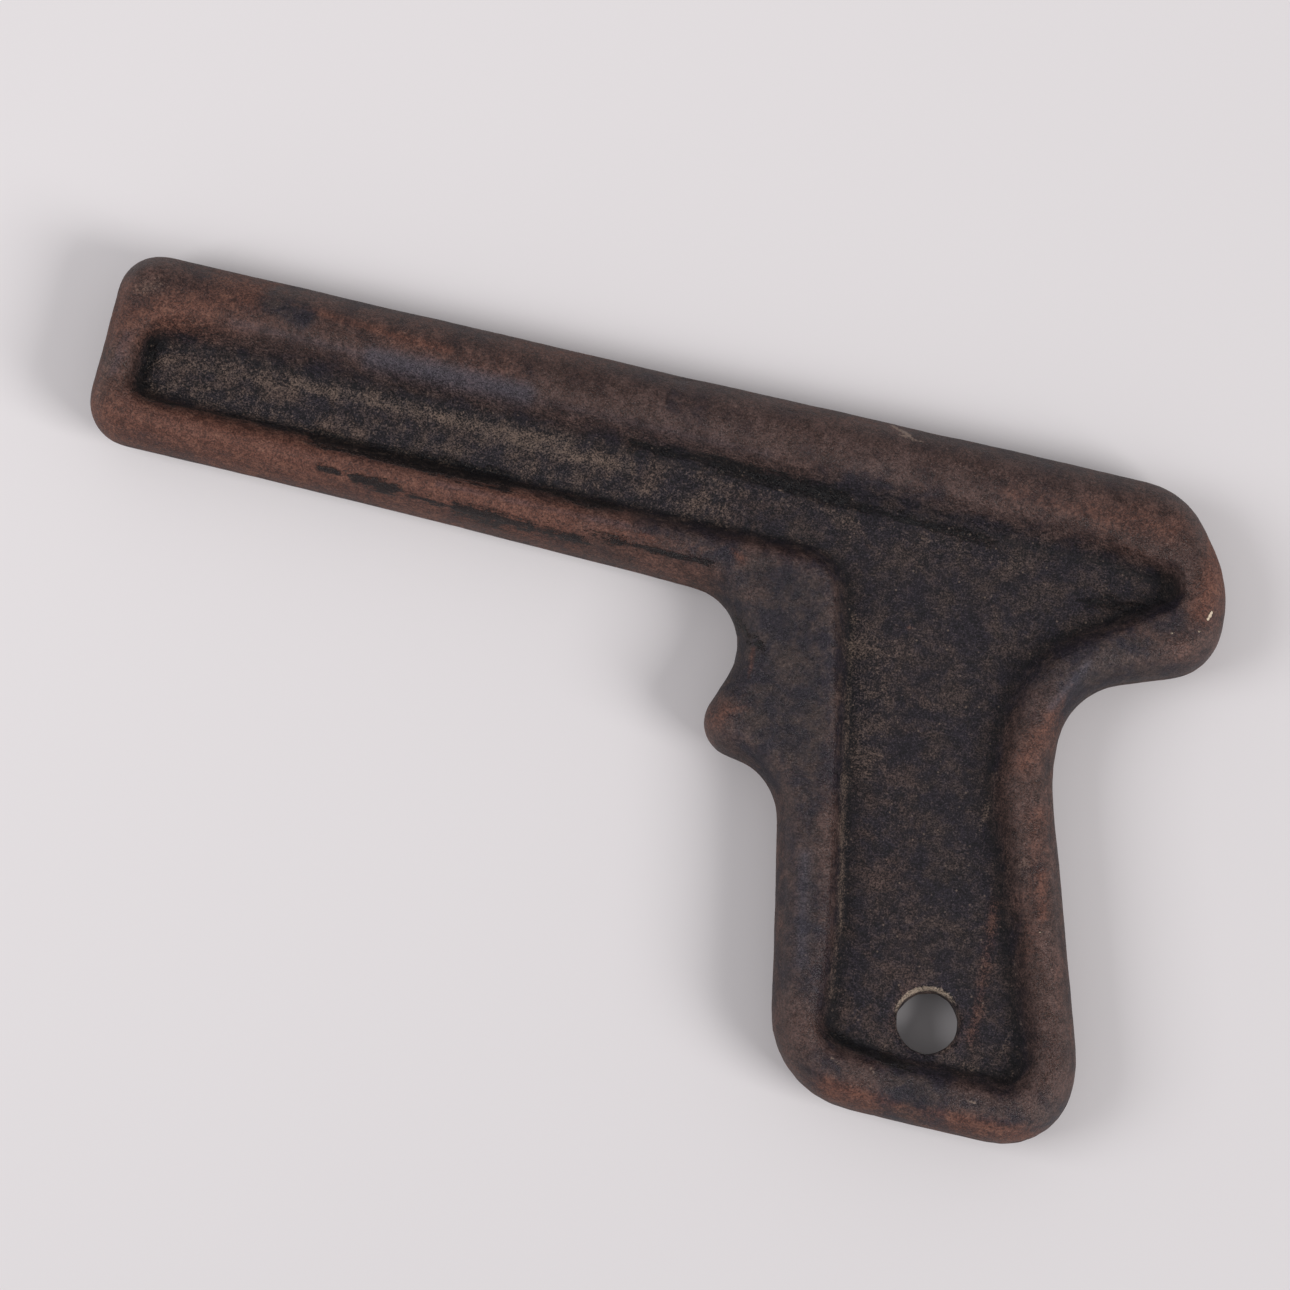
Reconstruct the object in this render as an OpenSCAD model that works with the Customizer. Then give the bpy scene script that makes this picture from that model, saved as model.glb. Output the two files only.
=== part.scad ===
// Pistol-shaped hand piece: one sand casting in grey iron.
// A thin web is sunk between rounded rims, alike on both faces. A heavy round rail runs along the barrel's top,
// a flat land stands behind the trigger nub, and a hanging hole goes through the web near the grip's end.
// The part lies flat: +X from the muzzle to the rear, +Y from the grip's end to the barrel's top, +Z up.
// Lengths are in millimetres.

/* [Casting] */
// Thickness over the rims
thickness = 17.4; // [14:0.2:22]
// Thickness of the web
web_t = 5.6; // [4:0.2:8]

/* [Barrel] */
// From the trigger nook forward to the muzzle end
barrel_reach = 137.5; // [132:0.5:160]
// From the trigger nook up to the barrel's top
barrel_rise = 39.9; // [39.6:0.1:40.1]
// From the trigger nook back to the rear end
rear_reach = 84.3; // [83:0.1:86]
// Width of the rail along the top
top_rail_w = 17.6; // [17.4:0.1:18]
// Width of the rail along the underside
low_rail_w = 11; // [11:0.1:12]
// Width of the rim at the muzzle end
muzzle_rim_w = 9.8; // [9.8:0.1:12]

/* [Grip] */
// From the trigger nook down to the grip's end
grip_drop = 89.9; // [89.6:0.1:100]
// Width of the rim across the grip's end
end_rim_w = 12.4; // [12:0.1:13]
// Width of the rim along the grip's front
front_rim_w = 12; // [11:0.1:13]
// Width of the rim along the grip's back
back_rim_w = 12; // [12:0.1:13]
// Depth of the saddle worn in the rim below the hanging hole
saddle_depth = 1; // [0:0.1:2]

/* [Hanging hole] */
// Diameter of the hole
hole_d = 11.6; // [8:0.2:11.6]
// From the grip's end up to the hole's centre
hole_rise = 19.1; // [19.1:0.1:26]

/* [Hidden] */

iron_colour = [0.27, 0.2, 0.19];
edge_steps = 6;
slope_steps = 6;
// Part of the inner slope that is taken by the fillet at its foot
foot_share = 0.22;
rim_z = thickness / 2;
web_z = web_t / 2;
hole_x = 46.3;
saddle_w = 16;

// Corners of the casting, anticlockwise, measured from the trigger nook, where the barrel's underside
// meets the trigger's front. Each row holds:
//   outer corner, its radius, corner of the web, its radius,
//   width of the rounded edge, width of the slope down to the web, steps in the corner, spans to the next one.
corners = [
    // muzzle, top and bottom
    [[0.6 - barrel_reach, barrel_rise], 8.5,
        [muzzle_rim_w - barrel_reach, barrel_rise - top_rail_w + 0.6], 2, 5.2, 4, 6, 2],
    [[-barrel_reach, 2.4], 8.5,
        [muzzle_rim_w - barrel_reach, 2.4 + low_rail_w], 2, 4.8, 4.2, 6, 1],
    // underside of the barrel, which rises a little towards the muzzle
    [[-112, 2.3], 200, [-112, 2.2 + low_rail_w], 200, 5, 5.6, 1, 3],
    [[-60, 1.7], 300, [-60, 1.9 + low_rail_w], 300, 5, 5.6, 1, 4],
    // trigger nook
    [[0, 0], 11.5, [11.6, 2 + low_rail_w], 10.5, 6, 4, 8, 3],
    // tip of the trigger nub
    [[-10.2, -28.3], 6.5, [19.2, -18], 150, 4.6, 4, 8, 2],
    // under the nub
    [[8.3, -31.5], 12, [21, -27], 200, 4.8, 4, 6, 4],
    // front of the grip and its two bottom corners
    [[15.8, -68], 120, [15.5 + front_rim_w, -60], 40, 4.8, 4.2, 2, 1],
    [[20, -grip_drop], 18.5, [28.8, end_rim_w - grip_drop], 4.5, 5, 5, 7, 13],
    [[75.7, -grip_drop], 13.5, [64.9, end_rim_w - grip_drop], 2.5, 5, 5.2, 7, 1],
    [[75.7, 17.9 - grip_drop], 20, [63.2, 20 - grip_drop], 30, 4.8, 6, 2, 5],
    // back of the grip
    [[58.6, -19.4], 40, [58.7 - back_rim_w, -23], 35, 4.6, 6, 3, 1],
    [[58.6, -2.6], 14, [58.8 - back_rim_w, 1.4], 22, 4.6, 6, 7, 3],
    // rear end, below, behind and above
    [[rear_reach, 6.6], 11, [rear_reach - 11.2, 18.8], 1.2, 5, 3.6, 6, 1],
    [[rear_reach, 23.4], 22, [rear_reach - 11.3, barrel_rise - 18.7], 1, 5.2, 3.6, 4, 1],
    [[rear_reach - 12.1, barrel_rise], 16,
        [rear_reach - 24, barrel_rise - top_rail_w - 0.2], 60, 7.2, 6, 5, 3],
    // top of the barrel
    [[-30, barrel_rise - 0.15], 400, [-30, barrel_rise - top_rail_w], 400, 8.6, 8.4, 1, 3],
    [[-118, barrel_rise], 60, [-118, barrel_rise - top_rail_w + 0.5], 60, 8.4, 8.2, 1, 2],
];

function unit(v) = v / norm(v);
function between(a, b, t) = a + (b - a) * t;
function following(k) = (k + 1) % len(corners);
function steps(k) = corners[k][6];
function spans(k) = corners[k][7];

// Round corner number k of the outer outline (column 0) or of the web's outline (column 2),
// as pairs of a point and the direction that leads square to the outline towards its inside
function corner_arc(k, column) =
    let(
        tip = corners[k][column],
        radius = corners[k][column + 1],
        back = unit(corners[k == 0 ? len(corners) - 1 : k - 1][column] - tip),
        ahead = unit(corners[following(k)][column] - tip),
        half = acos(back * ahead) / 2,
        centre = tip + unit(back + ahead) * radius / sin(half),
        from = tip + back * radius / tan(half) - centre,
        to = tip + ahead * radius / tan(half) - centre,
        start = atan2(from.y, from.x),
        turn = (atan2(to.y, to.x) - start + 540) % 360 - 180
    )
    [for (i = [0:steps(k)])
        let(
            a = start + turn * i / steps(k),
            out = [cos(a), sin(a)]
        )
        [centre + radius * out, turn > 0 ? -out : out]];

// Whole outline: every round corner and the spans that lead to the next one
function outline(column) =
    [for (k = [0:len(corners) - 1])
        let(
            here = corner_arc(k, column),
            next = corner_arc(following(k), column)
        )
        each concat(here, [for (i = [1:1:spans(k) - 1]) between(here[steps(k)], next[0], i / spans(k))])];

// A width from column 4 or 5 at every point of the outline, blended from the middle of one corner to the next
function widths(column) =
    [for (k = [0:len(corners) - 1])
        let(
            back = k == 0 ? len(corners) - 1 : k - 1,
            half = steps(k) / 2,
            run_in = steps(back) / 2 + spans(back) + half,
            run_out = half + spans(k) + steps(following(k)) / 2
        )
        for (i = [0:steps(k) + spans(k) - 1])
            i < half
                ? between(corners[k][column], corners[back][column], (half - i) / run_in)
                : between(corners[k][column], corners[following(k)][column], (i - half) / run_out)];

outer_pairs = outline(0);
inner_pairs = outline(2);
outer = [for (pair = outer_pairs) pair[0]];
inner = [for (pair = inner_pairs) pair[0]];
edge_w = widths(4);
slope_w = widths(5);
count = len(outer);

// Number of the point where round corner k starts
function first_point(k) = k == 0 ? 0 : first_point(k - 1) + steps(k - 1) + spans(k - 1);

// Height of the crest, lower at the saddle in the rim across the grip's end
function crest_z(p) =
    let(away = min(1, abs(p.x - hole_x) / (saddle_w / 2)))
    p.y < end_rim_w - grip_drop ? rim_z - saddle_depth * (1 + cos(180 * away)) / 2 : rim_z;

// Height of the slope, from 0 at its foot to 1 at the crest: a fillet at the foot, then a rounded shoulder
function slope_rise(t) = t < foot_share ? t * t / foot_share : 1 - (1 - t) * (1 - t) / (1 - foot_share);

// Point i of ring j on the upper face: first the rounded edge, from the parting line up to the crest,
// then the slope from the crest down to the web
function rim_point(i, j) =
    let(top = crest_z(outer[i]))
    j <= edge_steps
        ? let(
            a = 90 * j / edge_steps,
            p = outer[i] + outer_pairs[i][1] * edge_w[i] * (1 - cos(a))
        )
        [p.x, p.y, top * sin(a)]
        : let(
            t = 1 - (j - edge_steps - 1) / slope_steps,
            p = inner[i] - inner_pairs[i][1] * slope_w[i] * t
        )
        [p.x, p.y, web_z + (top - web_z) * slope_rise(t)];

rings = edge_steps + slope_steps + 2;
function ring(j) = [for (i = [0:count - 1]) rim_point(i, j)];
function below(points) = [for (p = points) [p.x, p.y, -p.z]];

// Triangles of the band between two rings that start at vertex a and vertex b
function band(a, b) =
    [for (i = [0:count - 1])
        let(n = (i + 1) % count)
        each [[a + i, b + i, b + n], [a + i, b + n, a + n]]];

// Triangles that close the gap between two rows of the web's points, with the shorter cross line each time
function lace(left, right, i = 0, j = 0) =
    i == len(left) - 1 && j == len(right) - 1 ? [] :
    let(
        step_left = i == len(left) - 1 ? 1e9 : norm(inner[left[i + 1]] - inner[right[j]]),
        step_right = j == len(right) - 1 ? 1e9 : norm(inner[left[i]] - inner[right[j + 1]])
    )
    step_left < step_right
        ? concat([[left[i], left[i + 1], right[j]]], lace(left, right, i + 1, j))
        : concat([[left[i], right[j + 1], right[j]]], lace(left, right, i, j + 1));

// The web is laced in two parts, which meet between the trigger nook and the corner behind the grip
nook = first_point(4) + 4;
tang = first_point(12) + 4;
rear_tip = first_point(14);
grip_end = first_point(9);
barrel_web = lace(
    [for (i = [count - 1:-1:rear_tip + 1]) i],
    concat([for (i = [0:nook]) i], [for (i = [tang:rear_tip]) i])
);
grip_web = lace(
    [for (i = [tang:-1:grip_end + 1]) i],
    [for (i = [nook:grip_end]) i]
);
web_faces = concat(barrel_web, grip_web);

function flipped(faces) = [for (f = faces) [f[2], f[1], f[0]]];
function shifted(faces, by) = [for (f = faces) f + [by, by, by]];

upper_points = [for (j = [0:rings - 1]) each ring(j)];
lower_points = [for (j = [1:rings - 1]) each below(ring(j))];
upper_faces = [for (j = [0:rings - 2]) each band(j * count, (j + 1) * count)];
// The lower face shares ring 0, the parting line, with the upper one
lower_faces = [for (j = [0:rings - 2])
    each flipped(band(j == 0 ? 0 : (rings + j - 1) * count, (rings + j) * count))];
upper_web = shifted(web_faces, (rings - 1) * count);
lower_web = flipped(shifted(web_faces, (2 * rings - 2) * count));

middle_x = (max([for (p = outer) p.x]) + min([for (p = outer) p.x])) / 2;
middle_y = (max([for (p = outer) p.y]) + min([for (p = outer) p.y])) / 2;

module iron_casting() {
    color(iron_colour)
    translate([-middle_x, -middle_y, rim_z])
    difference() {
        polyhedron(
            points = concat(upper_points, lower_points),
            faces = concat(upper_faces, lower_faces, upper_web, lower_web)
        );
        translate([hole_x, hole_rise - grip_drop, 0])
            cylinder(d = hole_d, h = web_t + 2, center = true, $fn = 64);
    }
}

iron_casting();
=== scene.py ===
import math

import bpy
import numpy as np
from mathutils import Matrix, Vector, kdtree


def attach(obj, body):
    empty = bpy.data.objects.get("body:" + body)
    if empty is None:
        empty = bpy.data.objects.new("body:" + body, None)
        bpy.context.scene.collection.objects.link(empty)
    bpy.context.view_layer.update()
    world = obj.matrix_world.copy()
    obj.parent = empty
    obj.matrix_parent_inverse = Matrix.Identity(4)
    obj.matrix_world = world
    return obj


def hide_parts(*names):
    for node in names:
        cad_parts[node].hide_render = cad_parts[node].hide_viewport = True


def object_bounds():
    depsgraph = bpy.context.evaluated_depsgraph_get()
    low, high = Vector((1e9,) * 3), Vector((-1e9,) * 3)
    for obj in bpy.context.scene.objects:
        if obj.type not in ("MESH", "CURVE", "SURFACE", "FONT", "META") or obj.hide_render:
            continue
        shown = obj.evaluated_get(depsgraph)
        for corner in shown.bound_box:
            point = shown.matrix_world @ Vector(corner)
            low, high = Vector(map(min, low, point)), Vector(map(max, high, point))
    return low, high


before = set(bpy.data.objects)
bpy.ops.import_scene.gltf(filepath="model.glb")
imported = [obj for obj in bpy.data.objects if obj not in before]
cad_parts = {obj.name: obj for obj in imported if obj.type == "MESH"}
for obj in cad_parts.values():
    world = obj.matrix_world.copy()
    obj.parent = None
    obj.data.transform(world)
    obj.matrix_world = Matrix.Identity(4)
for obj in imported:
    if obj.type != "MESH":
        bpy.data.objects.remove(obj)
cad_low, cad_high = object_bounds()

# A pistol-shaped cast-iron hand piece, lying on a pale studio floor. The CAD casting is remeshed finely and
# smoothed, gets the relief of a sand casting, and is covered with one procedural material.

MM = 0.001

# The finely worked copy of the casting
VOXEL = 0.68 * MM
WELD_DISTANCE = 0.002 * MM
SMOOTHING_ROUNDS = 22
# A smoothing step, and the step back out that makes up for its shrinking
STEP_IN = 0.5
STEP_OUT = -0.52
# Rounds that give the smooth form against which feet and crests are measured
FORM_ROUNDS = 60

# Relief of the cast skin, in millimetres
LUMP_HEIGHT = 0.11
SMALL_LUMP_HEIGHT = 0.055
GRAIN_HEIGHT = 0.022
RECESS_GRAIN_HEIGHT = 0.032
PIT_DEPTH = 0.17
SEAM_HEIGHT = 0.07
SEAM_WIDTH = 0.5
SEAM_WANDER = 0.25
# The skin may stand this far above the CAD box
MOST_PROUD = 0.2

# How far each half of the mould stood off the middle, the two in opposite directions
MOULD_SHIFT = Vector((-0.05, 0.06, 0.0)) * MM

# Places on the face that is seen are in millimetres from the muzzle end (x) and from the grip's end (y)
HOLE = (183.7, 19.1)
HOLE_RADIUS = 5.8
# Half the thickness of the web
WEB_HALF = 2.8

# The hole is worn open towards this direction, by this many millimetres
WEAR_DIRECTION = (-0.38, 0.92)
WEAR_DEPTH = 1.0
# Its edges are chipped by at least the first depth, and by up to the second one more
CHIP_DEPTHS = (0.12, 0.4)
WALL_UNEVENNESS = 0.14


# ---------------------------------------------------------------- numbers on vertices


def smoothstep(low, high, value):
    t = np.clip((value - low) / (high - low), 0, 1)
    return t * t * (3 - 2 * t)


def lattice_noise(points, size, seed):
    """Smooth noise from -1 to 1 whose lumps are about size millimetres across."""
    table = np.random.default_rng(seed).random(4096) * 2 - 1
    scaled = points / (size * MM)
    cell = np.floor(scaled).astype(np.int64)
    part = scaled - cell
    part = part * part * (3 - 2 * part)
    total = np.zeros(len(points))
    for corner in range(8):
        step = np.array([corner & 1, corner >> 1 & 1, corner >> 2 & 1])
        at = cell + step
        code = (at[:, 0] * 73856093 ^ at[:, 1] * 19349663 ^ at[:, 2] * 83492791) & 4095
        weight = np.prod(np.where(step == 1, part, 1 - part), axis=1)
        total += weight * table[code]
    return total


def relax(points, edges, amount):
    """Moves every vertex by amount, a share of the way to its neighbours' middle. Below 0 moves it away."""
    count = len(points)
    degree = np.bincount(edges.ravel(), minlength=count)[:, None]
    total = np.empty_like(points)
    for axis in range(3):
        total[:, axis] = np.bincount(edges[:, 0], points[edges[:, 1], axis], count)
        total[:, axis] += np.bincount(edges[:, 1], points[edges[:, 0], axis], count)
    return points + amount * (total / degree - points)


def get_points(mesh):
    flat = np.empty(len(mesh.vertices) * 3)
    mesh.vertices.foreach_get("co", flat)
    return flat.reshape(-1, 3)


def get_normals(mesh):
    flat = np.empty(len(mesh.vertices) * 3)
    mesh.vertices.foreach_get("normal", flat)
    return flat.reshape(-1, 3)


def get_edges(mesh):
    flat = np.empty(len(mesh.edges) * 2, np.int64)
    mesh.edges.foreach_get("vertices", flat)
    return flat.reshape(-1, 2)


def set_points(mesh, points):
    mesh.vertices.foreach_set("co", points.astype(np.float32).ravel())
    mesh.update()


def set_attribute(mesh, name, values):
    attribute = mesh.attributes.new(name, "FLOAT", "POINT")
    attribute.data.foreach_set("value", np.clip(values, 0, 1).astype(np.float32))


# ---------------------------------------------------------------- the casting's own surface


def even_copy(node, name):
    """A copy of a CAD node as an even fine mesh, with the CAD facets smoothed away."""
    piece = bpy.data.objects.new(name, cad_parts[node].data.copy())
    bpy.context.scene.collection.objects.link(piece)
    weld = piece.modifiers.new("weld", "WELD")
    weld.merge_threshold = WELD_DISTANCE
    remesh = piece.modifiers.new("even", "REMESH")
    remesh.mode = "VOXEL"
    remesh.voxel_size = VOXEL
    depsgraph = bpy.context.evaluated_depsgraph_get()
    mesh = bpy.data.meshes.new_from_object(piece.evaluated_get(depsgraph))
    piece.modifiers.clear()
    piece.data = mesh
    mesh.name = name
    edges = get_edges(mesh)
    points = get_points(mesh)
    for _ in range(SMOOTHING_ROUNDS):
        points = relax(relax(points, edges, STEP_IN), edges, STEP_OUT)
    set_points(mesh, points)
    return piece


def hollowness(points, normals, edges):
    """Millimetres from each point up to the smoothed form: positive at a foot, negative on a crest."""
    form = points
    for _ in range(FORM_ROUNDS):
        form = relax(form, edges, STEP_IN)
    return np.einsum("ij,ij->i", form - points, normals) / MM


def distance_inwards(places, on_outline):
    """How far every place lies from the outline, in the units of the places, seen from above."""
    tree = kdtree.KDTree(int(on_outline.sum()))
    for number, (x, y) in enumerate(places[on_outline]):
        tree.insert((x, y, 0), number)
    tree.balance()
    return np.array([tree.find((x, y, 0))[2] for x, y in places])


class Places:
    """Where every vertex lies on the casting: lengths in millimetres, and shares from 0 to 1."""

    def __init__(self, points, normals, edges):
        self.from_end = (points - np.array(cad_low)) / MM
        self.height = (points[:, 2] - (cad_low.z + cad_high.z) / 2) / MM
        self.from_middle = np.abs(self.height)
        rim_half = (cad_high.z - cad_low.z) / 2 / MM
        rise = np.clip((self.from_middle - WEB_HALF) / (rim_half - WEB_HALF), 0, 1)
        self.hollow = hollowness(points, normals, edges)

        self.outward = np.column_stack((self.from_end[:, :2] - HOLE, np.zeros(len(points))))
        self.hole_distance = np.hypot(self.outward[:, 0], self.outward[:, 1]) - HOLE_RADIUS
        self.outward /= np.linalg.norm(self.outward, axis=1)[:, None] + 1e-9
        self.facing_wear = np.clip(self.outward[:, :2] @ np.array(WEAR_DIRECTION), 0, 1) ** 1.5
        self.in_hole = 1 - smoothstep(0.2, 0.9, self.hole_distance)

        # the upright side of the casting, and how far inwards from it every point lies
        upright = 1 - smoothstep(0.35, 0.75, np.abs(normals[:, 2]))
        self.side = upright * (1 - self.in_hole) * (self.from_middle < 6.5)
        inwards = distance_inwards(self.from_end[:, :2], (self.side > 0.9) & (self.from_middle < 0.6))

        # the outer slope of the rims, and the sunken faces inside them
        inner = smoothstep(4, 7, inwards)
        self.outer = 1 - smoothstep(1.5, 5.5, inwards)
        self.recess = (1 - smoothstep(0.03, 0.65, rise)) * inner
        self.speckled = (1 - smoothstep(0.3, 1.0, rise)) * inner


def skin_relief(points, at):
    """Cast lumps, sand grain and pits."""
    lumps = LUMP_HEIGHT * lattice_noise(points, 15, 1) + SMALL_LUMP_HEIGHT * lattice_noise(points, 5, 2)
    grain = lattice_noise(points, 1.5, 3) * (GRAIN_HEIGHT + RECESS_GRAIN_HEIGHT * at.recess)
    pit_places = smoothstep(0.1, 0.6, lattice_noise(points, 13, 4))
    pits = -PIT_DEPTH * smoothstep(0.5, 0.85, lattice_noise(points, 2.1, 5)) * pit_places
    return lumps + grain + pits


def seam_relief(points, at):
    """The ridge of the parting line, which wanders and is faint in places."""
    seam = np.exp(-((at.height - SEAM_WANDER * lattice_noise(points, 11, 6)) / SEAM_WIDTH) ** 2)
    strength = 0.4 + 0.6 * smoothstep(-0.5, 0.5, lattice_noise(points, 8, 7))
    return SEAM_HEIGHT * seam * at.side * strength


def hole_edge_relief(points, at):
    """Chips along both edges of the hole."""
    edge = np.exp(-((at.from_middle - WEB_HALF) / 0.7) ** 2) * at.in_hole
    least, more = CHIP_DEPTHS
    return -edge * (least + more * smoothstep(0.0, 0.9, lattice_noise(points, 2.6, 8)))


def hole_wall_relief(points, at):
    """The uneven wall of the hole."""
    return at.in_hole * (at.from_middle < WEB_HALF) * WALL_UNEVENNESS * lattice_noise(points, 1.8, 9)


def hole_wear(points, at):
    """How far the hole is worn open, from 0 to about 1: most at the upper edge, and less the further down."""
    wear = at.facing_wear * smoothstep(-2.5, WEB_HALF, at.height) * (at.height < WEB_HALF + 0.8) * at.in_hole
    return wear * (0.75 + 0.35 * lattice_noise(points, 2.2, 10))


def cast_surface(piece):
    """Gives the casting its uneven skin, parting line and worn hole, and stores what the material reads."""
    mesh = piece.data
    points = get_points(mesh)
    normals = get_normals(mesh)
    at = Places(points, normals, get_edges(mesh))
    relief = skin_relief(points, at) + seam_relief(points, at)
    relief = relief + hole_edge_relief(points, at) + hole_wall_relief(points, at)
    half_of_mould = smoothstep(-0.35, 0.35, at.height)[:, None] * 2 - 1

    moved = points + normals * (relief * MM)[:, None]
    moved += at.outward * (hole_wear(points, at) * WEAR_DEPTH * MM)[:, None]
    moved += np.array(MOULD_SHIFT) * half_of_mould * at.side[:, None]
    moved[:, 2] = np.clip(moved[:, 2], cad_low.z, cad_high.z + MOST_PROUD * MM)
    set_points(mesh, moved)

    around_hole = 1 - smoothstep(0.5, 1.5, at.hole_distance)
    near_upper_edge = smoothstep(-0.8, 2.2, at.height) * (at.height < WEB_HALF + 1)
    set_attribute(mesh, "recess", at.recess)
    set_attribute(mesh, "foot", smoothstep(0.2, 0.7, at.hollow))
    set_attribute(mesh, "crest", smoothstep(0.05, 0.6, -at.hollow))
    set_attribute(mesh, "side", at.side)
    set_attribute(mesh, "bore", at.in_hole)
    set_attribute(mesh, "speckled", at.speckled)
    set_attribute(mesh, "outer", at.outer)
    set_attribute(mesh, "worn_lip", at.facing_wear * around_hole * near_upper_edge)
    return at


# ---------------------------------------------------------------- marks of age, with painted sheen and glints, on the face that is seen
# Each mark is a line from one place to another: x, y, x, y, half width and strength. All but strength is in
# millimetres.

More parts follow.
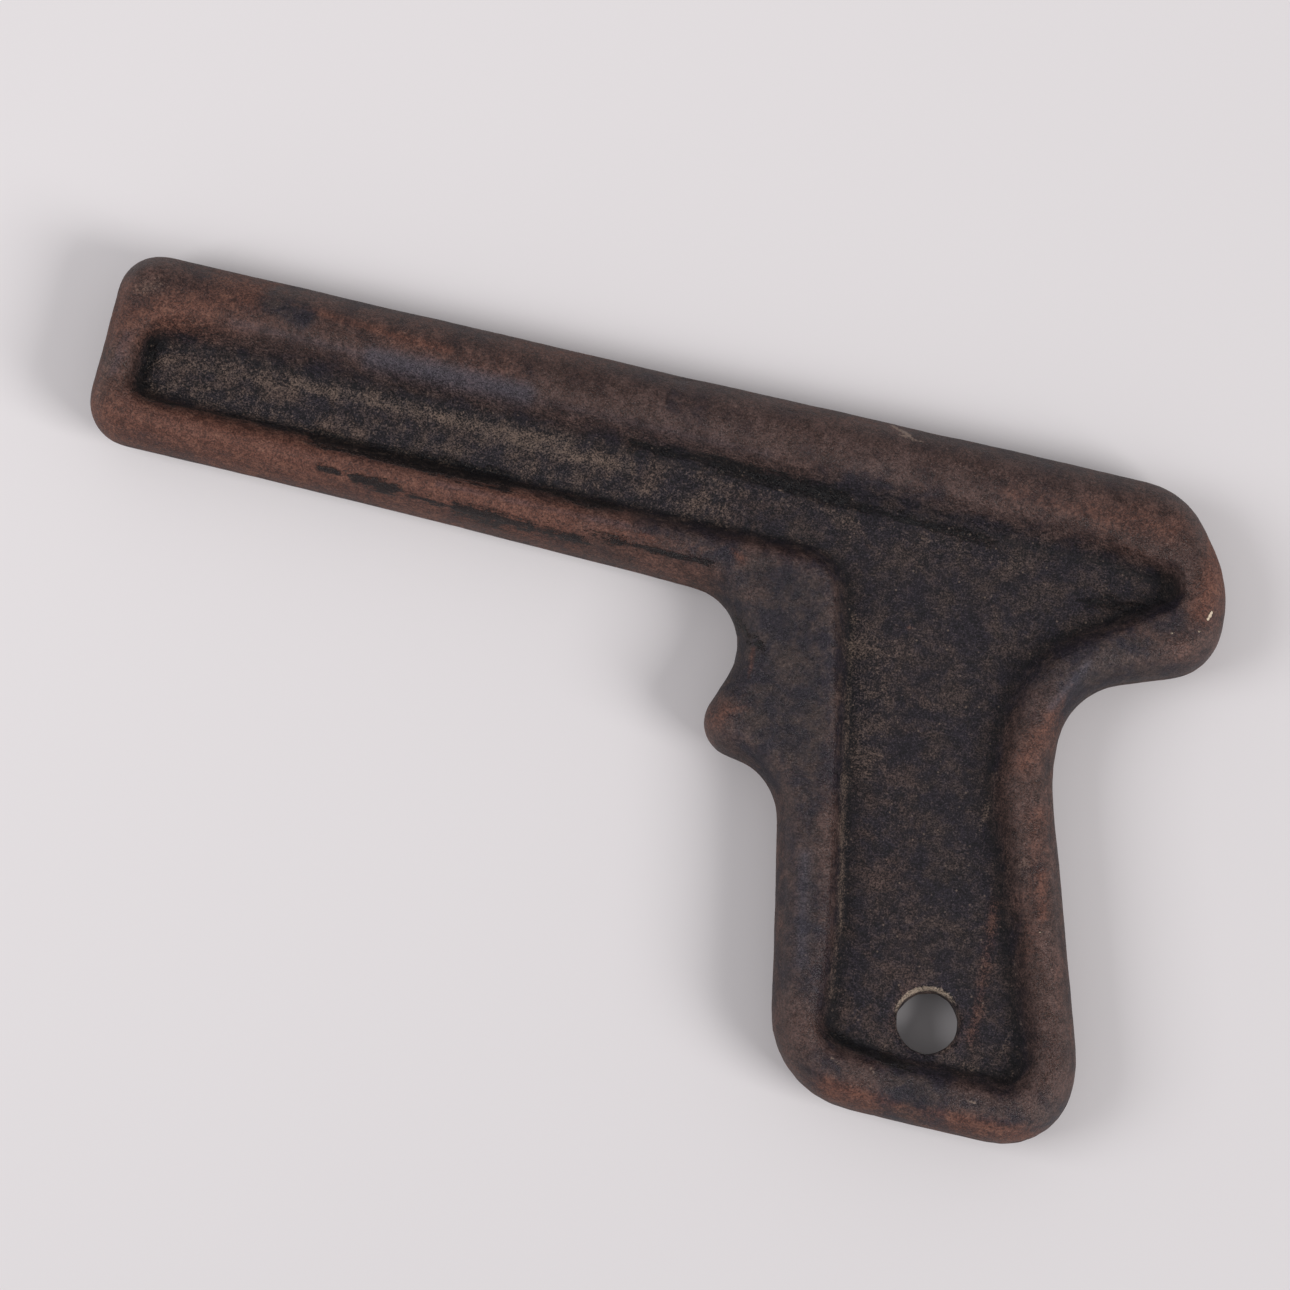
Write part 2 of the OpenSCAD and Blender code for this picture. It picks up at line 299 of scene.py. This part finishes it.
MARKS = {
    # black paint that is left in the hollows and along the underside of the barrel
    "paint": [
        (45, 101.5, 64, 101.0, 1.9, 1.0), (62, 101.2, 82, 100.9, 2.4, 1.0),
        (80, 101.0, 104, 101.3, 1.5, 0.7), (47, 95.4, 51, 95.1, 0.8, 0.9), (54, 95.0, 62, 94.6, 1.2, 1.0),
        (64, 94.4, 72, 94.0, 0.9, 0.7), (74, 94.0, 84, 93.6, 1.5, 0.85), (84, 93.5, 100, 93.4, 1.3, 0.75),
        (100, 94.2, 124, 94.2, 1.6, 0.65), (104, 114.0, 124, 114.2, 1.5, 0.7),
        (122, 113.8, 146, 113.0, 1.8, 0.85), (144, 112.4, 176, 111.4, 1.4, 0.7),
        (9.5, 102, 9.8, 112, 1.8, 0.7), (10, 101.5, 46, 102.0, 1.0, 0.65),
        (196, 104.5, 206, 104.5, 3.0, 0.6), (130, 86, 138, 80, 1.8, 0.6), (166, 12.5, 182, 9.5, 1.6, 0.7),
    ],
    # places where more of the old blue-black paint is left
    "char": [
        (142, 84, 147, 70, 10.0, 1.0), (150, 60, 160, 20, 4.0, 0.55), (184.5, 2, 183.5, 9, 5.0, 1.0),
        (130, 87, 134, 74, 2.5, 0.9), (150, 96, 158, 60, 3.0, 0.6), (176, 80, 186, 28, 3.5, 0.7),
        (194, 104, 208, 104, 4.0, 0.6), (152, 104, 198, 92, 9.0, 1.0), (166, 6.5, 214, 5.5, 4.0, 0.45),
        (31, 125, 37, 123.4, 1.8, 1.0), (112, 99, 128, 97, 3.0, 0.7), (131, 92, 133, 97, 3.0, 0.7),
    ],
    # light settled dust in the feet of the rims, on the barrel's floor and at the muzzle end
    "dust": [
        (14, 105, 60, 105, 4.2, 0.5), (60, 105, 122, 106, 4.0, 0.5), (12, 109.6, 40, 110.8, 2.6, 0.6),
        (38, 111.0, 92, 111.2, 1.6, 0.9), (76, 109.6, 104, 109.6, 2.2, 0.85),
        (104, 111.0, 128, 110.3, 1.2, 0.5), (128, 110.6, 180, 108.2, 1.3, 0.45),
        (152.6, 92, 157.8, 61, 0.7, 0.75), (157.8, 61, 163.5, 33, 0.7, 0.95),
        (163.5, 33, 164.8, 20, 0.7, 0.6), (156, 86, 160, 66, 4.5, 0.45), (6, 121, 8.5, 122.5, 1.6, 0.7),
        (198.5, 16.5, 199.2, 22, 0.6, 0.6), (188, 13.2, 196, 12.9, 0.6, 0.5),
        (185.0, 56, 185.5, 62, 0.6, 0.7), (194.5, 50.5, 195, 51.5, 1.8, 0.5), (2.6, 98, 3.2, 110, 0.7, 0.5),
    ],
    # red-brown and orange rust
    "rust": [
        (4, 116, 26, 124, 5.0, 0.8), (6, 97.0, 60, 96.6, 4.6, 0.9), (58, 96.6, 96, 96.4, 3.8, 0.9),
        (96, 96.4, 128, 96.8, 2.6, 0.45), (28, 122, 80, 121.0, 3.5, 0.4),
        (216.5, 106, 219.0, 122, 2.6, 1.0), (176, 120.5, 208, 120.0, 3.2, 0.55),
        (186, 96.5, 214, 101.0, 2.6, 0.5), (110, 96.6, 112, 96.2, 0.8, 1.0), (195, 60, 199, 36, 2.2, 0.5),
        (191, 44, 192.5, 18, 1.8, 0.6), (168, 2.6, 214, 2.2, 2.4, 0.75), (24, 125.6, 66, 122.8, 1.2, 0.75),
        (198, 51, 200, 43, 1.2, 0.8), (151.8, 105.2, 152.4, 105.0, 0.9, 1.0),
        (163.3, 91.5, 163.7, 91.8, 0.8, 0.8), (182, 31, 182.4, 31.4, 0.9, 0.8),
        (135.8, 80.4, 136.2, 74.5, 0.6, 0.9), (127.6, 97.6, 129.4, 96.4, 0.8, 1.0),
        (96, 96.6, 109.6, 95.4, 0.9, 0.6), (132, 66, 138, 70, 2.0, 0.7), (196, 88, 190, 70, 2.0, 0.5),
    ],
    # blue-grey bloom on the rails and rims, with painted sheen along their crests
    "bloom_and_sheen": [
        (52, 118.4, 82, 118.2, 2.2, 1.0), (24, 119, 52, 118.6, 1.4, 0.5),
        (82, 117.6, 130, 117.2, 1.6, 0.45), (4, 104, 5, 112, 1.6, 0.5), (70, 97.4, 110, 97.6, 0.8, 0.5),
        (193, 82, 198, 92, 1.0, 0.7), (154, 44, 158, 24, 1.6, 0.7),
    ],
    # white paint flecks
    "chips": [
        (218.2, 105.2, 218.7, 107.0, 0.5, 1.0), (216.9, 102.3, 217.3, 102.9, 0.45, 0.9),
        (212.0, 100.9, 212.3, 101.1, 0.5, 1.0), (214.0, 99.8, 214.4, 99.6, 0.4, 0.8),
        (216.6, 99.5, 217.0, 99.9, 0.4, 0.8), (210, 120.4, 210, 120.5, 0.45, 0.8),
        (201.8, 109.4, 201.8, 109.5, 0.45, 0.7), (198.3, 106.8, 198.3, 106.9, 0.4, 0.7),
        (180.7, 94.7, 180.7, 94.8, 0.45, 0.8), (190.5, 73.1, 190.5, 73.2, 0.45, 0.7),
        (200.5, 40.1, 200.6, 39.9, 0.5, 1.0), (201.0, 37.1, 201.1, 36.9, 0.5, 0.9),
        (203.5, 34.5, 203.6, 34.2, 0.5, 1.0), (204.5, 29.1, 204.5, 29.2, 0.45, 0.7),
    ],
    # pale scratches, and painted glints of light: the first five lines, on worn crests of the grip
    "scratch_marks_and_glints": [
        (167.4, 8.3, 169.2, 7.1, 0.5, 0.8), (175.0, 8.0, 176.4, 6.4, 0.5, 0.8),
        (194.2, 6.4, 195.8, 5.9, 0.45, 0.9), (146.6, 62.0, 148.6, 60.2, 0.5, 0.7),
        (156.8, 27.5, 157.6, 24.0, 0.5, 0.5), (6.2, 121.0, 7.8, 119.4, 0.7, 0.6),
        (151.6, 128.8, 155.6, 127.2, 0.4, 1.0), (153.4, 127.0, 158.0, 126.6, 0.4, 0.8),
        (154.2, 128.4, 156.4, 126.0, 0.35, 0.8), (132.4, 112.2, 134.8, 111.6, 0.35, 0.8),
    ],
}


def line_distance(places, mark):
    """Distance of every place from the mark's line, as a share of its half width."""
    start = np.array(mark[0:2])
    along = np.array(mark[2:4]) - start
    share = np.clip(((places - start) @ along) / max(along @ along, 1e-9), 0, 1)
    return np.linalg.norm(places - start - share[:, None] * along, axis=1) / mark[4]


def store_marks(piece, at):
    """Stores each kind of mark, for the upper face: full strength on its line, 0 at twice its half width."""
    for kind, marks in MARKS.items():
        field = np.zeros(len(at.height))
        for mark in marks:
            strength = 1 - np.clip(line_distance(at.from_end[:, :2], mark) / 2, 0, 1)
            field = np.maximum(field, strength * mark[5])
        set_attribute(piece.data, kind, field * (at.height > 0))


# ---------------------------------------------------------------- material

# Sockets of a Mix node that holds colours
MIX_A = 6
MIX_B = 7
MIX_RESULT = 2


class Shader:
    """A few short calls for building a node material."""

    def __init__(self, name):
        self.material = bpy.data.materials.new(name)
        self.material.use_nodes = True
        self.tree = self.material.node_tree
        self.principled = self.tree.nodes["Principled BSDF"]
        coordinates = self.tree.nodes.new("ShaderNodeTexCoord")
        self.place = coordinates.outputs["Object"]

    def feed(self, socket, value):
        if isinstance(value, bpy.types.NodeSocket):
            self.tree.links.new(value, socket)
        else:
            socket.default_value = value

    def attribute(self, name):
        found = self.tree.nodes.new("ShaderNodeAttribute")
        found.attribute_name = name
        return found.outputs["Fac"]

    def math(self, operation, a, b):
        made = self.tree.nodes.new("ShaderNodeMath")
        made.operation = operation
        self.feed(made.inputs[0], a)
        self.feed(made.inputs[1], b)
        return made.outputs[0]

    def add(self, a, b):
        return self.math("ADD", a, b)

    def times(self, a, b):
        return self.math("MULTIPLY", a, b)

    def weighted(self, *pairs, start=None):
        """The sum of every pair's value times its weight, added to start if there is one."""
        total = start
        for value, weight in pairs:
            term = value if weight == 1 else self.times(value, weight)
            total = term if total is None else self.add(total, term)
        return total

    def ramp(self, value, low, high, to_low=0.0, to_high=1.0):
        """Goes smoothly from to_low, where value is low, to to_high, where it is high."""
        made = self.tree.nodes.new("ShaderNodeMapRange")
        made.interpolation_type = "SMOOTHSTEP"
        self.feed(made.inputs["Value"], value)
        made.inputs["From Min"].default_value = low
        made.inputs["From Max"].default_value = high
        made.inputs["To Min"].default_value = to_low
        made.inputs["To Max"].default_value = to_high
        return made.outputs["Result"]

    def stretched(self, scale):
        made = self.tree.nodes.new("ShaderNodeMapping")
        self.feed(made.inputs["Vector"], self.place)
        made.inputs["Scale"].default_value = scale
        return made.outputs["Vector"]

    def noise(self, size, detail, roughness=0.5, place=None, distortion=0.0):
        """Noise from 0 to 1 with lumps about size millimetres across."""
        made = self.tree.nodes.new("ShaderNodeTexNoise")
        self.feed(made.inputs["Vector"], place or self.place)
        made.inputs["Scale"].default_value = 1 / (size * MM)
        made.inputs["Detail"].default_value = detail
        made.inputs["Roughness"].default_value = roughness
        made.inputs["Distortion"].default_value = distortion
        return made.outputs["Fac"]

    def specks(self, size, share):
        """Small round grains, 1 in a grain's middle, in that share of cells about size millimetres across."""
        made = self.tree.nodes.new("ShaderNodeTexVoronoi")
        self.feed(made.inputs["Vector"], self.place)
        made.inputs["Scale"].default_value = 1 / (size * MM)
        picked = self.tree.nodes.new("ShaderNodeSeparateColor")
        self.feed(picked.inputs["Color"], made.outputs["Color"])
        some = self.ramp(picked.outputs["Red"], 1 - share - 0.01, 1 - share + 0.01)
        return self.times(some, self.ramp(made.outputs["Distance"], 0.2, 0.45, 1.0, 0.0))

    def mix(self, share, a, b):
        made = self.tree.nodes.new("ShaderNodeMix")
        made.data_type = "RGBA"
        self.feed(made.inputs["Factor"], share)
        self.feed(made.inputs[MIX_A], (*a, 1.0) if isinstance(a, tuple) else a)
        self.feed(made.inputs[MIX_B], (*b, 1.0) if isinstance(b, tuple) else b)
        return made.outputs[MIX_RESULT]

    def scaled(self, colour, factor):
        made = self.tree.nodes.new("ShaderNodeVectorMath")
        made.operation = "SCALE"
        self.feed(made.inputs[0], colour)
        self.feed(made.inputs["Scale"], factor)
        return made.outputs["Vector"]

    def bump(self, height, distance):
        """A bumped normal: height 1 stands distance millimetres above height 0."""
        made = self.tree.nodes.new("ShaderNodeBump")
        self.feed(made.inputs["Height"], height)
        made.inputs["Distance"].default_value = distance * MM
        made.inputs["Strength"].default_value = 1.0
        return made.outputs["Normal"]


BLUE_BLACK = (0.018, 0.0145, 0.021)
CHARCOAL = (0.045, 0.031, 0.0285)
BROWN = (0.047, 0.024, 0.0185)
MAUVE_BROWN = (0.071, 0.042, 0.037)
RED_RUST = (0.115, 0.044, 0.029)
ORANGE_RUST = (0.165, 0.073, 0.045)
DUST = (0.27, 0.195, 0.15)
# blue-grey of bloom and of painted sheen
BLOOM_AND_SHEEN = (0.05, 0.048, 0.064)
# black of paint and of grains, also laid as painted shade in the feet of the rims
BLACK_FOR_PAINT_GRAIN_AND_SHADE = (0.004, 0.004, 0.005)
PALE_LIP = (0.6, 0.48, 0.37)
WHITE_PAINT = (0.75, 0.62, 0.47)
# pale grey-brown of grains and scratches, also laid as painted glints
PALE_GRAIN_SCRATCH_AND_GLINT = (0.26, 0.19, 0.15)

ROUGHNESS = 0.31
LEAST_ROUGHNESS = 0.2
SPECULAR_LEVEL = 0.28
# In millimetres
SKIN_BUMP = 0.24


class IronShader(Shader):
    """The iron's shader, with its colour so far and the places and noises that several of its layers read."""

    def __init__(self):
        super().__init__("aged_cast_iron")
        self.colour = None
        self.recess = self.attribute("recess")
        self.crest = self.attribute("crest")
        self.outer = self.attribute("outer")
        self.speckled = self.attribute("speckled")
        self.char = self.attribute("char")
        self.worn = self.math("SUBTRACT", 1.0, self.recess)
        self.cloud = self.noise(24, 3.0, 0.55)
        self.blotch = self.noise(6, 5.0, 0.68, distortion=0.3)
        self.patch = self.noise(2.4, 6.0, 0.72)
        self.fine = self.noise(0.75, 3.0, 0.8)
        self.grit = self.noise(0.36, 2.0, 0.8)

    def cover(self, share, colour):
        """Lays a colour over the colour so far."""
        self.colour = self.mix(share, self.colour, colour)


def start_with_patina(s):
    """Old blue-black paint in the recess, and brown patina on the rims."""
    dark_share = s.ramp(s.weighted((s.blotch, 1), (s.patch, 0.4)), 0.58, 0.85)
    dark = s.mix(dark_share, BLUE_BLACK, CHARCOAL)
    brown_share = s.ramp(s.weighted((s.blotch, 1), (s.patch, 0.6)), 0.65, 1.0)
    brown = s.mix(brown_share, BROWN, MAUVE_BROWN)
    rims = s.weighted((s.worn, 0.42), (s.crest, 0.16), (s.cloud, 0.7), (s.blotch, 1), (s.char, -0.85))
    s.colour = s.mix(s.ramp(rims, 0.78, 1.5), dark, brown)


def add_rust(s):
    """Rust as broken clouds with an orange heart, over the whole piece and stronger at the marked places."""
    anywhere = s.times(s.worn, s.ramp(s.cloud, 0.45, 0.7))
    places = s.weighted((s.attribute("rust"), 1), (s.outer, 0.25), (anywhere, 0.25))
    broken = s.weighted((s.blotch, 0.75), (s.patch, 0.5), (s.fine, 0.45))
    share = s.ramp(s.weighted((places, 1), (broken, 1), (s.char, -0.45)), 1.05, 1.9)
    heart = s.ramp(s.weighted((s.patch, 1), (s.fine, 0.7)), 0.8, 1.2)
    s.cover(s.times(share, 0.75), s.mix(heart, RED_RUST, ORANGE_RUST))
    return share


def add_bloom_and_painted_sheen(s):
    """Blue-grey bloom, and painted blue-grey sheen on the crests."""
    share = s.ramp(s.weighted((s.attribute("bloom_and_sheen"), 1), (s.blotch, 0.7)), 0.55, 1.3)
    # painted sheen with bloom: blue-grey laid on the crests of the rails and rims
    s.cover(s.times(share, 0.7), BLOOM_AND_SHEEN)


def add_mottling(s):
    """Lighter and darker spots, from a few millimetres down to the sand grain, and crests made paler, partly
    for wear and partly as a painted highlight.
    """
    spots = s.ramp(s.weighted((s.patch, 0.2), (s.fine, 0.4), (s.grit, 0.4)), 0.41, 0.59, -0.7, 0.75)
    strength = s.weighted((s.speckled, 0.45), start=0.55)
    spots = s.add(1.0, s.times(spots, strength))
    # the crests are made up to a quarter paler: wear, together with a painted highlight
    s.colour = s.scaled(s.colour, s.times(spots, s.weighted((s.crest, 0.25), start=1.0)))


def add_dirt_and_painted_shade(s):
    """Dirt and painted shade that darken the feet of the rims."""
    # painted shade with dirt: the hollow feet of the rims, found from the form's concavity, are darkened
    # towards black
    s.cover(s.times(s.attribute("foot"), 0.65), BLACK_FOR_PAINT_GRAIN_AND_SHADE)


def add_black_paint(s):
    """Black paint with a torn edge."""
    drag = s.noise(1.2, 4.0, 0.7, s.stretched((0.2, 1.0, 1.0)))
    edge = s.weighted((s.attribute("paint"), 0.8), (drag, 1), (s.fine, 0.5), (s.patch, 0.9))
    share = s.ramp(edge, 1.58, 1.74)
    s.cover(s.times(share, 0.92), BLACK_FOR_PAINT_GRAIN_AND_SHADE)
    return share


def add_dust(s):
    """Pale dust as separate grains that gather where it has settled, and the pale worn lip of the hole."""
    places = s.weighted((s.attribute("dust"), 0.5), (s.attribute("bore"), 0.3))
    edge = s.weighted((s.grit, 1), (s.fine, 0.7), (s.patch, 0.4), (s.blotch, 0.5), start=places)
    share = s.ramp(edge, 1.45, 2.05)
    s.cover(s.times(share, 0.75), DUST)
    lip_edge = s.weighted((s.attribute("worn_lip"), 1.3), (s.fine, 0.9), (s.grit, 0.8), (s.patch, 0.6))
    s.cover(s.times(s.ramp(lip_edge, 1.45, 2.0), 0.85), PALE_LIP)
    return share


def add_salt_and_pepper(s):
    """Pale and black grains of the sand-cast skin, more of them where it is speckled."""
    salt = s.ramp(s.weighted((s.grit, 0.7), (s.fine, 0.35), (s.patch, 0.15)), 0.66, 0.86)
    s.cover(s.times(salt, s.weighted((s.speckled, 0.3), start=0.25)), PALE_GRAIN_SCRATCH_AND_GLINT)
    pepper = s.ramp(s.weighted((s.grit, 1), (s.patch, 0.3)), 0.66, 0.53)
    s.cover(s.times(pepper, s.weighted((s.speckled, 0.45), start=0.35)), BLACK_FOR_PAINT_GRAIN_AND_SHADE)
    bright = s.times(s.specks(0.6, 0.02), s.ramp(s.add(s.cloud, s.recess), 0.4, 1.2))
    s.cover(s.times(bright, 0.5), PALE_GRAIN_SCRATCH_AND_GLINT)


def add_flecks_scratch_marks_and_glints(s):
    """White paint flecks, pale scratches, and painted glints on worn crests."""
    fleck_edge = s.weighted((s.attribute("chips"), 0.9), (s.fine, 0.6), (s.grit, 0.4))
    share = s.ramp(fleck_edge, 1.12, 1.22)
    s.cover(share, WHITE_PAINT)
    scratch_and_glint_edge = s.weighted((s.attribute("scratch_marks_and_glints"), 1), (s.fine, 0.5), (s.grit, 0.5))
    # pale scratches and painted glints of light, laid in one layer
    s.cover(s.times(s.ramp(scratch_and_glint_edge, 1.0, 1.3), 0.8), PALE_GRAIN_SCRATCH_AND_GLINT)
    return share


def iron_material():
    s = IronShader()
    start_with_patina(s)
    rust = add_rust(s)
    add_bloom_and_painted_sheen(s)
    add_mottling(s)
    add_dirt_and_painted_shade(s)
    paint = add_black_paint(s)
    dust = add_dust(s)
    add_salt_and_pepper(s)
    flecks = add_flecks_scratch_marks_and_glints(s)
    s.feed(s.principled.inputs["Base Color"], s.colour)
    s.principled.inputs["Specular IOR Level"].default_value = SPECULAR_LEVEL

    # grain, dust, rust and the outer sides are duller than the rest, and paint and crests are glossier
    uneven = s.math("SUBTRACT", s.patch, 0.5)
    rough = s.weighted((s.speckled, 0.18), (dust, 0.2), (rust, 0.12), start=ROUGHNESS)
    rough = s.weighted((s.outer, 0.12), (s.attribute("side"), 0.2), (uneven, 0.5), start=rough)
    rough = s.weighted((paint, -0.2), (s.crest, -0.08), start=rough)
    s.feed(s.principled.inputs["Roughness"], s.math("MAXIMUM", rough, LEAST_ROUGHNESS))

    # the finest grain, uneven patches, and paint that stands proud
    grit_height = s.times(s.grit, s.weighted((s.speckled, 0.7), start=0.8))
    fine_height = s.times(s.fine, s.weighted((s.speckled, 0.6), start=0.7))
    flakes = s.weighted((paint, 0.7), (flecks, 0.8), (s.patch, 0.5))
    skin = s.add(s.add(grit_height, fine_height), flakes)
    s.feed(s.principled.inputs["Normal"], s.bump(skin, SKIN_BUMP))
    return s.material


def make_casting():
    piece = even_copy("iron_casting", "cast_iron_body")
    at = cast_surface(piece)
    store_marks(piece, at)
    piece.data.materials.clear()
    piece.data.materials.append(iron_material())
    for polygon in piece.data.polygons:
        polygon.use_smooth = True
    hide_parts("iron_casting")
    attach(piece, "root")


# ---------------------------------------------------------------- studio

FLOOR_HALF = 3.0
FLOOR_SHADED_GREY = (0.735, 0.715, 0.722)
FLOOR_LIT_PALE = (0.865, 0.84, 0.845)
# Painted light falloff on the floor: it turns from grey to pale while Y - X goes from minus this to plus
# this, in metres
FLOOR_LIGHT_FADE = 0.3

LIGHT_DISTANCE = 1.5
WARM_WHITE = (1.0, 0.985, 0.985)
COOL_WHITE = (0.99, 0.985, 1.0)
WORLD_COLOUR = (1.0, 0.97, 0.99, 1.0)
WORLD_STRENGTH = 0.385

CAMERA_DISTANCE = 1.0
CAMERA_TILT = math.radians(8)
# It leans towards the picture's lower edge, and by this share of that to the right
LEAN_TO_RIGHT = 0.12
FRAME_WIDTH = 0.2466
SENSOR = 36.0
# From the middle of the casting's box to the middle of the picture
AIM_OFFSET = Vector((0.00428, 0.01242, 0))

# The picture's own directions on the floor: the frame is turned against the casting
ROLL = math.radians(13.3)
TO_RIGHT = Vector((math.cos(ROLL), math.sin(ROLL), 0))
TO_TOP = Vector((-math.sin(ROLL), math.cos(ROLL), 0))


def floor_material_with_painted_falloff():
    """A pale backdrop with a painted fall of light: paler towards -X and +Y, greyer the other way."""
    s = Shader("pale_backdrop")
    split = s.tree.nodes.new("ShaderNodeSeparateXYZ")
    s.feed(split.inputs[0], s.place)
    across = s.math("SUBTRACT", split.outputs["Y"], split.outputs["X"])
    # painted light: the floor's colour is greyer, as if shaded, towards +X and -Y, and paler towards -X and
    # +Y, with a little random tone
    painted_light_tone = s.weighted((s.ramp(across, -FLOOR_LIGHT_FADE, FLOOR_LIGHT_FADE), 1), (s.noise(90, 2.0), 0.08))
    s.feed(s.principled.inputs["Base Color"], s.mix(painted_light_tone, FLOOR_SHADED_GREY, FLOOR_LIT_PALE))
    s.principled.inputs["Roughness"].default_value = 0.75
    s.principled.inputs["Specular IOR Level"].default_value = 0.2
    return s.material


def make_floor():
    mesh = bpy.data.meshes.new("floor")
    signs = [(-1, -1), (1, -1), (1, 1), (-1, 1)]
    corners = [(x * FLOOR_HALF, y * FLOOR_HALF, cad_low.z) for x, y in signs]
    mesh.from_pydata(corners, [], [(0, 1, 2, 3)])
    mesh.materials.append(floor_material_with_painted_falloff())
    floor = bpy.data.objects.new("floor", mesh)
    bpy.context.scene.collection.objects.link(floor)


def make_light(name, right, top, elevation, size, power, colour):
    """A square soft box that stands towards right and top of the picture and faces the casting."""
    flat = (TO_RIGHT * right + TO_TOP * top).normalized()
    direction = flat * math.cos(math.radians(elevation)) + Vector((0, 0, math.sin(math.radians(elevation))))
    data = bpy.data.lights.new(name, "AREA")
    data.shape = "SQUARE"
    data.size = size
    data.energy = power
    data.color = colour
    light = bpy.data.objects.new(name, data)
    light.location = direction * LIGHT_DISTANCE
    light.rotation_mode = "QUATERNION"
    light.rotation_quaternion = direction.to_track_quat("Z", "Y")
    bpy.context.scene.collection.objects.link(light)


def make_world():
    world = bpy.data.worlds.new("studio")
    world.use_nodes = True
    background = world.node_tree.nodes["Background"]
    background.inputs["Color"].default_value = WORLD_COLOUR
    background.inputs["Strength"].default_value = WORLD_STRENGTH
    bpy.context.scene.world = world


def make_camera():
    """Looks down on the casting, from a little below and to the right of the picture's middle."""
    centre = (cad_low + cad_high) / 2 + AIM_OFFSET
    lean = (TO_RIGHT * LEAN_TO_RIGHT - TO_TOP).normalized()
    back = lean * math.sin(CAMERA_TILT) + Vector((0, 0, math.cos(CAMERA_TILT)))
    right = TO_TOP.cross(back).normalized()
    top = back.cross(right)
    data = bpy.data.cameras.new("camera")
    data.sensor_width = SENSOR
    data.lens = SENSOR * CAMERA_DISTANCE / FRAME_WIDTH
    data.clip_start = 0.01
    data.clip_end = 20
    camera = bpy.data.objects.new("camera", data)
    camera.rotation_mode = "QUATERNION"
    camera.rotation_quaternion = Matrix((right, top, back)).transposed().to_quaternion()
    camera.location = centre + back * CAMERA_DISTANCE
    bpy.context.scene.collection.objects.link(camera)
    bpy.context.scene.camera = camera


make_camera()
make_casting()
make_floor()
make_light("right_softbox", right=0.87, top=-0.49, elevation=37, size=0.65, power=11.9, colour=WARM_WHITE)
make_light("left_softbox", right=-1.0, top=-0.04, elevation=44, size=0.8, power=8.4, colour=COOL_WHITE)
make_world()
bpy.context.scene.view_settings.view_transform = "Standard"
